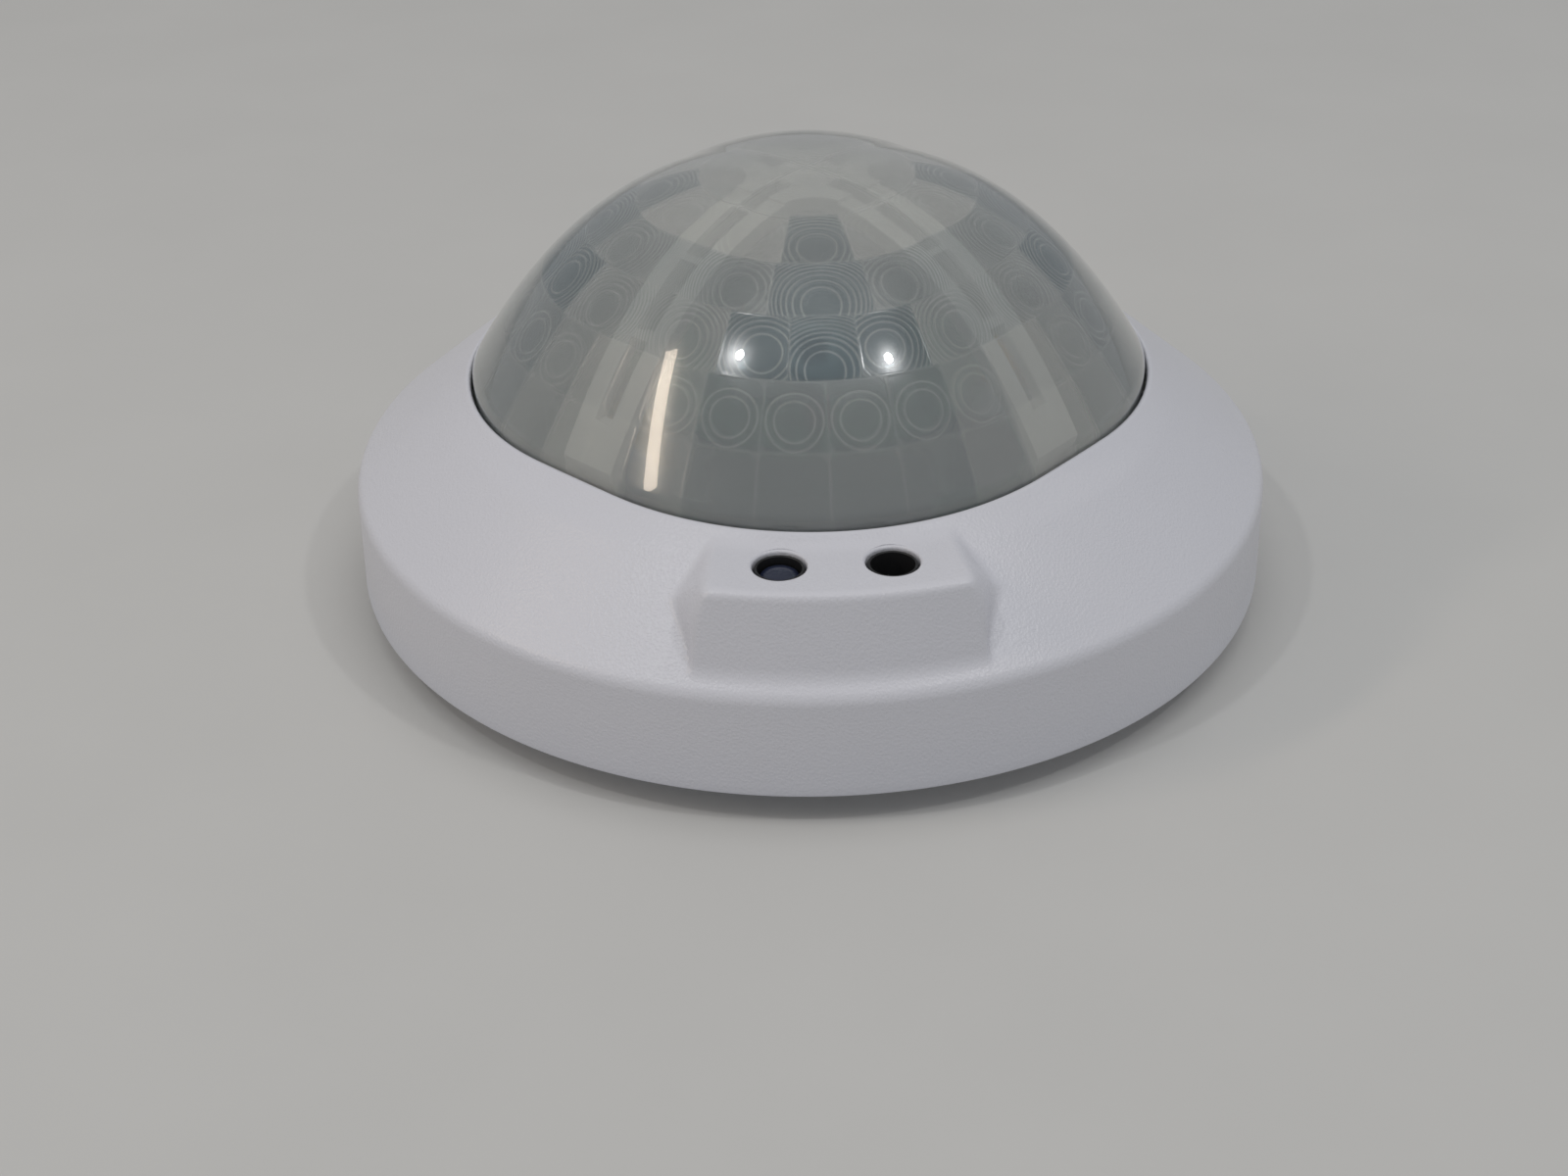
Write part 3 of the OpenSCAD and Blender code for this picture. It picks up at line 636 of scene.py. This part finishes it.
def shape_cover(bm, cover, lens):
    """Gathers the columns at the pod, draws the lip in to the lens and raises the pod"""
    gather = 0.6
    blend = 3.6 * MM
    level = CONE_NORMAL.dot(CONE_START)
    opening = lens.reach + LENS_CLEARANCE
    for v in bm.verts:
        r, z = math.hypot(v.co.x, v.co.y), v.co.z
        turn = math.atan2(v.co.y, v.co.x) - POD_SIDE
        turn -= gather * math.sin(turn)
        across = CONE_NORMAL.dot((r, z))
        lift = 0
        if z > 15 * MM and abs(across - level) < 0.4 * MM:
            lift = pod_lift(cover, r, z, turn, 0)
        elif z > 15 * MM and abs(across - level + cover.wall) < 0.05 * MM:
            lift = pod_lift(cover, r, z, turn, cover.wall)
        near = min(max((LIP_RADIUS + blend - r) / blend, 0), 1)
        near = near * near * (3 - 2 * near)
        drawn = outline_reach(lens, opening, turn + POD_SIDE) - opening
        r += lift * CONE_NORMAL.x + near * drawn
        z += lift * CONE_NORMAL.y - 0.3 * near * drawn
        v.co = (r * math.cos(turn + POD_SIDE), r * math.sin(turn + POD_SIDE), z)


def hole_tool(cover):
    """Two round cutters whose upper ends flare, so that each hole gets a rounded rim"""
    rim = 0.35 * MM
    top = cover.pod_top
    wide = cover.hole_radius + rim
    profile = [(0, top - 8 * MM), (cover.hole_radius, top - 8 * MM)]
    profile += arc_points((wide, top - rim), rim, 180, 100, 5)
    profile += [(wide + 0.3 * MM, top + 1 * MM), (0, top + 1 * MM)]
    bm = spun(profile, 64)
    bmesh.ops.translate(bm, verts=bm.verts, vec=(-cover.hole_pitch / 2, -cover.hole_reach, 0))
    twin = bmesh.ops.duplicate(bm, geom=bm.verts[:] + bm.edges[:] + bm.faces[:])["geom"]
    moved = [g for g in twin if isinstance(g, bmesh.types.BMVert)]
    bmesh.ops.translate(bm, verts=moved, vec=(cover.hole_pitch, 0, 0))
    return bm


def guide_ribs(cover):
    """Nine ribs inside the skirt that centre the cover on the head"""
    bm = bmesh.new()
    head_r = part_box("head_back_cover")[1].x
    start, end = head_r + 0.4 * MM, cover.radius - 1.2 * MM
    for index in range(9):
        made = bmesh.ops.create_cube(bm, size=1)["verts"]
        bmesh.ops.scale(bm, vec=(end - start, 1.2 * MM, 10 * MM), verts=made)
        bmesh.ops.translate(bm, vec=((start + end) / 2, 0, COVER_BOX[0].z + 7 * MM), verts=made)
        turn = math.radians(20 + 40 * index)
        bmesh.ops.rotate(bm, cent=(0, 0, 0), verts=made, matrix=Matrix.Rotation(turn, 3, "Z"))
    bmesh.ops.bevel(bm, geom=bm.edges[:], offset=0.25 * MM, offset_type="OFFSET", segments=2,
                    profile=0.5, affect="EDGES", clamp_overlap=True, material=-1)
    return bm


# ---- lens ----

# Rows of lens segments from the top down: the reach at which the row ends, then its segments from
# the middle of a lobe outwards. Each has the angle where it ends, its rings' centre as reach and
# angle, how far the rings go, and its painted light level from deep to milky, which paints the
# shade and light of the inside seen through the segment. Lengths in mm, angles in degrees.
LENS_ROWS = (
    (13.6, ((45, 0, 0, 0, 0.80),)),
    (21.5, ((12, 19.2, 0, 20, 0.42), (45, 18.5, 28, 20, 0.80))),
    (27.8, ((13.5, 26.6, 0, 20, 0.24), (45, 25.5, 22.5, 20, 0.50))),
    (33.8, ((7.5, 33.0, 0, 20, 0.04), (22.5, 31.5, 13.3, 20, 0.14), (45, 31.6, 32.4, 20, 0.55))),
    (39.3, ((12, 37, 6, 3.6, 0.40), (24, 37, 18, 3.6, 0.40), (36, 37, 30, 3.6, 0.58),
            (45, 37, 40.5, 0, 0.75))),
    (43.6, ((12, 41, 6, 0, 0.48), (24, 41, 18, 0, 0.48), (36, 41, 30, 0, 0.62),
            (45, 41, 40.5, 0, 0.8))),
)
FULL_REACH = LENS_ROWS[-1][0]
ROW_STEPS = (10, 8, 7, 7, 8, 8)
LENS_COLUMNS = 240
DOME_FOOT_Z = 31.2 * MM
DOME_POWER = 2.73


def lens_height(lens, share, inset):
    """Height of the dome's surface at a share of its reach"""
    return DOME_FOOT_Z + (LENS_BOX[1].z - DOME_FOOT_Z - inset) * (1 - share ** DOME_POWER)


def lens_shares():
    """Shares of the lens's reach at which its rings of points lie, from the top to the foot"""
    ends = [0.0] + [row[0] for row in LENS_ROWS]
    reaches = [0.0]
    for start, end, steps in zip(ends, ends[1:], ROW_STEPS):
        reaches += [start + (end - start) * i / steps for i in range(1, steps + 1)]
    return [reach / ends[-1] for reach in reaches]


def lens_outline(lens):
    """The lens's wall: down the outer side, round the flange and up the inner side"""
    shares = lens_shares()
    foot, flange_t, flange_out = LENS_BOX[0].z, 1 * MM, 1.6 * MM
    outer = [(lens.reach * s, lens_height(lens, s, 0)) for s in shares]
    inner_reach = lens.reach - lens.wall
    inner = [(inner_reach * s, lens_height(lens, s, lens.wall)) for s in reversed(shares)]
    edge = lens.reach + flange_out
    flange = line_points(outer[-1], (lens.reach, foot + flange_t), 4)
    flange += [(lens.reach, foot + flange_t), (edge - 0.2 * MM, foot + flange_t),
               (edge, foot + 0.8 * MM), (edge, foot + 0.2 * MM), (edge - 0.2 * MM, foot),
               (inner_reach, foot)]
    return outer + flange + line_points((inner_reach, foot), inner[0], 4) + inner


def segment_at(reach, turn):
    """The row's two reaches, the segment's two angles and the segment at a place on the lens"""
    start = 0.0
    for end, segments in LENS_ROWS:
        if reach <= end:
            break
        start = end
    fold = abs(turn)
    left = 0.0
    for segment in segments:
        if fold <= segment[0]:
            break
        left = segment[0]
    if segment[2] == 0:
        left = -segment[0]
    return start, end, left, segment


def mark_segments(bm, lens):
    """Stores on each face's corners its segment's painted light level (painted shade to painted light of the
    inside), borders and ring offset, in mm
    """
    uv = bm.loops.layers.uv.new("ring_offset")
    # The painted light level paints, per segment, the shade and light of the inside seen through it
    tone = bm.loops.layers.float.new("segment_tone")
    limit = bm.loops.layers.float.new("ring_limit")
    gap = bm.loops.layers.float.new("border_gap")
    rise = (LENS_BOX[1].z - DOME_FOOT_Z) / MM
    for face in bm.faces:
        middle = face.calc_center_median()
        inset = 0 if face.normal.z > 0 else lens.wall
        scale = lens.reach / (lens.reach - inset) / MM
        heading = math.degrees(math.atan2(middle.y, middle.x))
        lobe = 90 * round(heading / 90)
        reach = min(math.hypot(middle.x, middle.y) * scale, FULL_REACH)
        start, end, left, segment = segment_at(reach, heading - lobe)
        right, centre, angle, rings, shade = segment
        mirror = 1 if heading >= lobe else -1
        share = (start + end) / (2 * FULL_REACH)
        steep = DOME_POWER * rise / FULL_REACH * share ** (DOME_POWER - 1)
        slant = math.sqrt(1 + steep * steep)
        for loop in face.loops:
            v = loop.vert.co
            own = math.hypot(v.x, v.y) * scale
            turned = math.degrees(math.atan2(v.y, v.x)) - lobe
            turned = ((turned + 180) % 360 - 180) * mirror if own > 0.01 else 0
            along = math.radians(1) * own
            loop[uv].uv = ((turned - angle) * along, (own - centre) * slant)
            sides = (min(turned - left, right - turned) * along,)
            if start > 0:
                sides += ((own - start) * slant,)
            sides += (max((end - own) * slant, 0),) if end < FULL_REACH else ()
            loop[gap] = max(min(sides), 0)
            # The segment's painted level of the inside's shade and light
            loop[tone] = shade
            loop[limit] = rings


def shape_lens(bm, lens):
    """Draws the spun shell in to four lobes, and lets each segment bulge on the inner side"""
    gap = bm.loops.layers.float["border_gap"]
    full_at = 2.0       # mm from a border to where the bulge is full
    for v in bm.verts:
        r = math.hypot(v.co.x, v.co.y)
        if r < 1e-7:
            continue
        inner = v.co.z > DOME_FOOT_Z + 0.1 * MM and v.normal.z < 0
        bulge = 0
        if inner:
            near = min(min(loop[gap] for loop in v.link_loops) / full_at, 1)
            bulge = lens.relief * near * (2 - near)
        turn = math.atan2(v.co.y, v.co.x)
        reach = outline_reach(lens, r, turn)
        v.co = (reach * math.cos(turn), reach * math.sin(turn), v.co.z)
        v.co += v.normal * bulge


# ---- stage ----

CAMERA_PLACE = (-0.01640, -0.27605, 0.16772)
CAMERA_TURN = (58.018, 0.804, -3.138)       # degrees about X, Y and Z


def add_light(name, place, power, size, colour=(1, 1, 1), run=None):
    """An area light that points at the detector: a disk, or a strip whose length is run"""
    data = bpy.data.lights.new(name, "AREA")
    data.shape = "RECTANGLE" if run else "DISK"
    data.size = size
    data.energy = power
    data.color = colour
    light = bpy.data.objects.new(name, data)
    bpy.context.scene.collection.objects.link(light)
    back = (Vector(place) - Vector((0, 0, 0.03))).normalized()
    length = Vector(run or (0, 1, 0))
    up = (length - length.project(back)).normalized()
    if run:
        data.size_y = length.length
    light.rotation_euler = Matrix((up.cross(back), up, back)).transposed().to_euler()
    light.location = place
    return light


def floor_material(colour):
    """Pale matt floor with a faint mottle, clear from below and close under the base"""
    material, tree, shader = new_material("floor")
    mottle = tree.noise(30 * MM, tree.object_place(), 5.0)
    darker = [0.94 * c for c in colour]
    tree.feed(shader.inputs["Base Color"], tree.mix(mottle, darker, colour))
    shader.inputs["Roughness"].default_value = 0.7
    clear = tree.node("ShaderNodeBsdfTransparent").outputs[0]
    below = tree.node("ShaderNodeNewGeometry").outputs["Backfacing"]
    travelled = tree.node("ShaderNodeLightPath").outputs["Ray Length"]
    close = tree.math("LESS_THAN", travelled, 14 * MM)
    both = tree.node("ShaderNodeMixShader", {0: tree.math("MAXIMUM", below, close),
                                             1: shader.outputs[0], 2: clear})
    output = next(n for n in tree.tree.nodes if n.type == "OUTPUT_MATERIAL")
    tree.feed(output.inputs["Surface"], both.outputs[0])
    return material


# ---- operators ----

class DETECTOR_OT_cover(bpy.types.Operator):
    """Cover with its skirt, shoulder, cone, lip, sensor pod and guide ribs"""

    bl_idname = "detector.cover"
    bl_label = "Cover"

    def execute(self, context):
        cover, lens = context.scene.cover_settings, context.scene.lens_settings
        finish = plastic("cover_plastic", cover.colour, 0.32, cover.grain, 0.06 * MM, 0.035)
        bm = spun(cover_outline(cover), 512)
        shape_cover(bm, cover, lens)
        piece = piece_from(bm, "cover_shell", finish)
        holes = piece_from(hole_tool(cover), "hole_tool", finish)
        cut(piece, holes, "DIFFERENCE")
        ribs = piece_from(guide_ribs(cover), "rib_tool", finish)
        cut(piece, ribs, "UNION")
        settle(piece, "cover", "cover_plastic", "cover_ring")
        return {"FINISHED"}


class DETECTOR_OT_lens(bpy.types.Operator):
    """Four-lobed lens with its flange, segments and rings"""

    bl_idname = "detector.lens"
    bl_label = "Lens"

    def execute(self, context):
        lens = context.scene.lens_settings
        bm = spun(lens_outline(lens), LENS_COLUMNS)
        bm.normal_update()
        mark_segments(bm, lens)
        shape_lens(bm, lens)
        piece = piece_from(bm, "lens_shell", lens_plastic(lens), EASED_CRISP_ANGLE)
        settle(piece, "head", "lens_plastic", "lens_dome")
        return {"FINISHED"}


class DETECTOR_OT_frames(bpy.types.Operator):
    """Front frame, lens frame, retaining ring, seal and sensor holder"""

    bl_idname = "detector.frames"
    bl_label = "Frames"

    def execute(self, context):
        parts = context.scene.part_settings
        white = plastic("frame_plastic", parts.frame_colour, 0.5, 0.25 * MM, 0.01 * MM)
        for node, width in (("front_frame", 0.3), ("lens_frame", 0.35), ("lens_retainer", 0.2),
                            ("pir_holder", 0.4)):
            eased_copy(node, width * MM, white)
        eased_copy("lens_seal", 0.15 * MM, foam("seal_foam", (0.03, 0.03, 0.03)))
        return {"FINISHED"}


class DETECTOR_OT_base(bpy.types.Operator):
    """Base plate, back cover and the housing screws"""

    bl_idname = "detector.base"
    bl_label = "Base and back"

    def execute(self, context):
        parts = context.scene.part_settings
        grey = plastic("base_plastic", parts.base_colour, 0.5, 0.3 * MM, 0.015 * MM)
        eased_copy("base_plate", 0.3 * MM, grey)
        eased_copy("head_back_cover", 0.3 * MM, grey)
        eased_copy("housing_screws", 0.15 * MM, zinc_steel())
        return {"FINISHED"}


class DETECTOR_OT_terminals(bpy.types.Operator):
    """Terminal block with its clamps and screws"""

    bl_idname = "detector.terminals"
    bl_label = "Terminals"

    def execute(self, context):
        block = plastic("terminal_plastic", (0.15, 0.18, 0.21), 0.35, 0.3 * MM, 0.006 * MM)
        eased_copy("terminal_block", 0.2 * MM, block)
        eased_copy("terminal_clamps", 0.15 * MM, metal("contact_brass", (0.72, 0.50, 0.18), 0.25))
        eased_copy("terminal_screws", 0.15 * MM, zinc_steel())
        return {"FINISHED"}


class DETECTOR_OT_boards(bpy.types.Operator):
    """The two boards, their spacers and connector, and the components on them"""

    bl_idname = "detector.boards"
    bl_label = "Boards"

    def execute(self, context):
        laminate = board_laminate(context.scene.part_settings.board_colour)
        black = black_plastic()
        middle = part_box("transformer")
        core_y = (middle[0].y + middle[1].y) / 2
        wound = banded("ferrite", (0.62, 0.45, 0.06), (0.035, 0.034, 0.034), 1,
                       core_y - 2.7 * MM, core_y + 2.7 * MM, roughness=0.4, grain=0.4 * MM)
        can_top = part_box("electrolytic_capacitor")[1].z
        sleeve = banded("capacitor_sleeve", (0.01, 0.014, 0.05), (0.55, 0.56, 0.57), 2,
                        can_top - 0.35 * MM, can_top + 1 * MM, roughness=0.3, grain=0.6 * MM)
        for node, width, finish in (
                ("main_board", 0.1, laminate), ("pir_board", 0.1, laminate),
                ("relay", 0.5, black), ("controller_chip", 0.06, black),
                ("board_link", 0.1, black), ("board_spacers", 0.2, spacer_nylon()),
                ("transformer", 0.25, wound), ("electrolytic_capacitor", 0.15, sleeve),
                ("film_capacitor", 0.5, plastic("capacitor_yellow", (0.72, 0.40, 0.03), 0.3,
                                                0.5 * MM, 0.01 * MM, coat=0.4)),
                ("varistor", 1.3, plastic("varistor_blue", (0.02, 0.09, 0.32), 0.3, 0.8 * MM,
                                          0.03 * MM, coat=0.4)),
                ("fuse", 0.6, plastic("fuse_brown", (0.09, 0.03, 0.012), 0.3, 0.5 * MM,
                                      0.01 * MM, coat=0.3))):
            eased_copy(node, width * MM, finish, 3)
        return {"FINISHED"}


class DETECTOR_OT_heat_sensors(bpy.types.Operator):
    """The four infrared sensors, their windows and the status light"""

    bl_idname = "detector.heat_sensors"
    bl_label = "Infrared sensors"

    def execute(self, context):
        can = metal("sensor_can", (0.66, 0.66, 0.63), 0.3, 0.2 * MM)
        for side in ("front", "right", "back", "left"):
            eased_copy("pir_sensor_" + side, 0.3 * MM, can, 3)
        eased_copy("pir_windows", 0.05 * MM, filter_glass())
        eased_copy("status_led", 0.15 * MM, tinted_resin("led_resin", (0.11, 0.03, 0.028)))
        return {"FINISHED"}


class DETECTOR_OT_pod_sensors(bpy.types.Operator):
    """Light sensor and infrared receiver under the pod, with their stands and shield"""

    bl_idname = "detector.pod_sensors"
    bl_label = "Pod sensors"

    def execute(self, context):
        black = black_plastic()
        eased_copy("sensor_stands", 0.2 * MM, black)
        eased_copy("light_shield", 0.25 * MM, black)
        domed_sensor("light_sensor", 0.7 * MM,
                     tinted_resin("sensor_blue", (0.014, 0.020, 0.050), 0.3))
        domed_sensor("ir_receiver", 2 * MM, filter_glass())
        return {"FINISHED"}


def domed_sensor(node, dome, finish):
    """A round sensor with a top domed by that height and a fine collar"""
    low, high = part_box(node)
    radius = (high.x - low.x) / 2
    collar = 0.25 * MM
    top = high.z
    profile = [(0, low.z), (radius, low.z), (radius, low.z + 1 * MM)]
    profile += [(radius - collar, low.z + 1.2 * MM)]
    arc = arc_points((0, 0), 1, 0, 86, 14)
    profile += [((radius - collar) * x, top - dome + dome * z) for x, z in arc] + [(0, top)]
    bm = spun(profile, 64)
    bmesh.ops.translate(bm, verts=bm.verts, vec=((low.x + high.x) / 2, (low.y + high.y) / 2, 0))
    piece = piece_from(bm, node + "_dome", finish)
    settle(piece, body_of_node(node), slot_of_node(node), node)


class DETECTOR_OT_controls(bpy.types.Operator):
    """Setting knobs, their trimmer bodies and the test button"""

    bl_idname = "detector.controls"
    bl_label = "Controls"

    def execute(self, context):
        parts = context.scene.part_settings
        orange = plastic("knob_orange", parts.knob_colour, 0.38, 0.2 * MM, 0.008 * MM)
        for node in ("sensitivity_knob", "light_level_knob", "time_delay_knob"):
            slotted_knob(node, orange)
        eased_copy("trimmer_bodies", 0.2 * MM, spacer_nylon())
        eased_copy("test_button_body", 0.2 * MM, black_plastic())
        eased_copy("test_button", 0.3 * MM, plastic("button_red", parts.button_colour, 0.35,
                                                    0.2 * MM, 0.006 * MM), 3)
        return {"FINISHED"}


def slotted_knob(node, finish):
    """A setting knob with a rounded edge and an arrow-shaped driver slot that points outwards"""
    low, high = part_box(node)
    x, y = (low.x + high.x) / 2, (low.y + high.y) / 2
    radius, ease = (high.x - low.x) / 2, 0.2 * MM
    profile = [(0, low.z), (radius, low.z)]
    profile += arc_points((radius - ease, high.z - ease), ease, 0, 90, 4) + [(0, high.z)]
    bm = spun(profile, 64)
    bmesh.ops.translate(bm, verts=bm.verts, vec=(x, y, 0))
    piece = piece_from(bm, node + "_head", finish)
    outwards = Matrix.Rotation(math.atan2(y, x), 3, "Z")
    slot_depth = 1 * MM
    # The arrow's shaft and head: length, width and distance from the knob's middle, in mm
    for length, width, along in ((3.4, 0.8, 0), (1.2, 1.6, 1.7)):
        slot = bmesh.new()
        bmesh.ops.create_cube(slot, size=1)
        bmesh.ops.scale(slot, verts=slot.verts, vec=(length * MM, width * MM, 2 * slot_depth))
        bmesh.ops.translate(slot, verts=slot.verts, vec=(along * MM, 0, high.z))
        bmesh.ops.rotate(slot, verts=slot.verts, cent=(0, 0, 0), matrix=outwards)
        bmesh.ops.translate(slot, verts=slot.verts, vec=(x, y, 0))
        cut(piece, piece_from(slot, "slot_tool", finish), "DIFFERENCE")
    settle(piece, body_of_node(node), slot_of_node(node), node)


class DETECTOR_OT_stage(bpy.types.Operator):
    """Pale floor, soft studio light and the camera"""

    bl_idname = "detector.stage"
    bl_label = "Stage"

    def execute(self, context):
        scene, stage = context.scene, context.scene.stage_settings
        bm = bmesh.new()
        bmesh.ops.create_circle(bm, cap_ends=True, segments=96, radius=stage.floor_radius)
        bmesh.ops.translate(bm, verts=bm.verts, vec=(0, 0, -0.05 * MM))
        floor = piece_from(bm, "floor", floor_material(stage.floor_colour))
        softbox = add_light("softbox", (0.1, -0.2, 1.3), stage.softbox_power, 1.2)
        softbox.visible_glossy = False
        far = 1.1
        for name, way in (("lamp_left", (-0.426, -0.274, 0.862)),
                          ("lamp_right", (0.423, -0.329, 0.844))):
            add_light(name, [far * c for c in way], stage.lamp_power, 0.055)
        add_light("strip", [far * c for c in (-0.785, -0.17, 0.56)], stage.strip_power, 0.09,
                  (1.0, 0.84, 0.68), [far * c for c in (-0.103, -0.363, -0.271)])
        world = bpy.data.worlds.new("studio")
        world.use_nodes = True
        sky = world.node_tree.nodes["Background"]
        sky.inputs["Color"].default_value = (0.96, 0.98, 1.0, 1)
        sky.inputs["Strength"].default_value = stage.sky
        scene.world = world
        scene.view_settings.view_transform = "Standard"
        lens = bpy.data.cameras.new("camera")
        lens.lens = 54
        lens.sensor_width = 36
        camera = bpy.data.objects.new("camera", lens)
        camera.location = CAMERA_PLACE
        camera.rotation_euler = [math.radians(angle) for angle in CAMERA_TURN]
        scene.collection.objects.link(camera)
        scene.camera = camera
        return {"FINISHED"}


PIECES = (DETECTOR_OT_stage, DETECTOR_OT_cover, DETECTOR_OT_lens, DETECTOR_OT_frames,
          DETECTOR_OT_base, DETECTOR_OT_terminals, DETECTOR_OT_boards, DETECTOR_OT_heat_sensors,
          DETECTOR_OT_pod_sensors, DETECTOR_OT_controls)


class DETECTOR_PT_panel(bpy.types.Panel):
    """Lists the detector's pieces in the sidebar"""

    bl_label = "Presence detector"
    bl_idname = "DETECTOR_PT_panel"
    bl_space_type = "VIEW_3D"
    bl_region_type = "UI"
    bl_category = "Detector"

    def draw(self, context):
        for operator in PIECES:
            self.layout.operator(operator.bl_idname)


SETTINGS = {"cover_settings": CoverSettings, "lens_settings": LensSettings,
            "part_settings": PartSettings, "stage_settings": StageSettings}


def register():
    for name, kind in SETTINGS.items():
        bpy.utils.register_class(kind)
        setattr(bpy.types.Scene, name, bpy.props.PointerProperty(type=kind))
    for kind in PIECES + (DETECTOR_PT_panel,):
        bpy.utils.register_class(kind)


def unregister():
    for kind in PIECES + (DETECTOR_PT_panel,):
        bpy.utils.unregister_class(kind)
    for name, kind in SETTINGS.items():
        delattr(bpy.types.Scene, name)
        bpy.utils.unregister_class(kind)


def main():
    register()
    for operator in PIECES:
        group, name = operator.bl_idname.split(".")
        getattr(getattr(bpy.ops, group), name)()


if __name__ == "__main__":
    main()
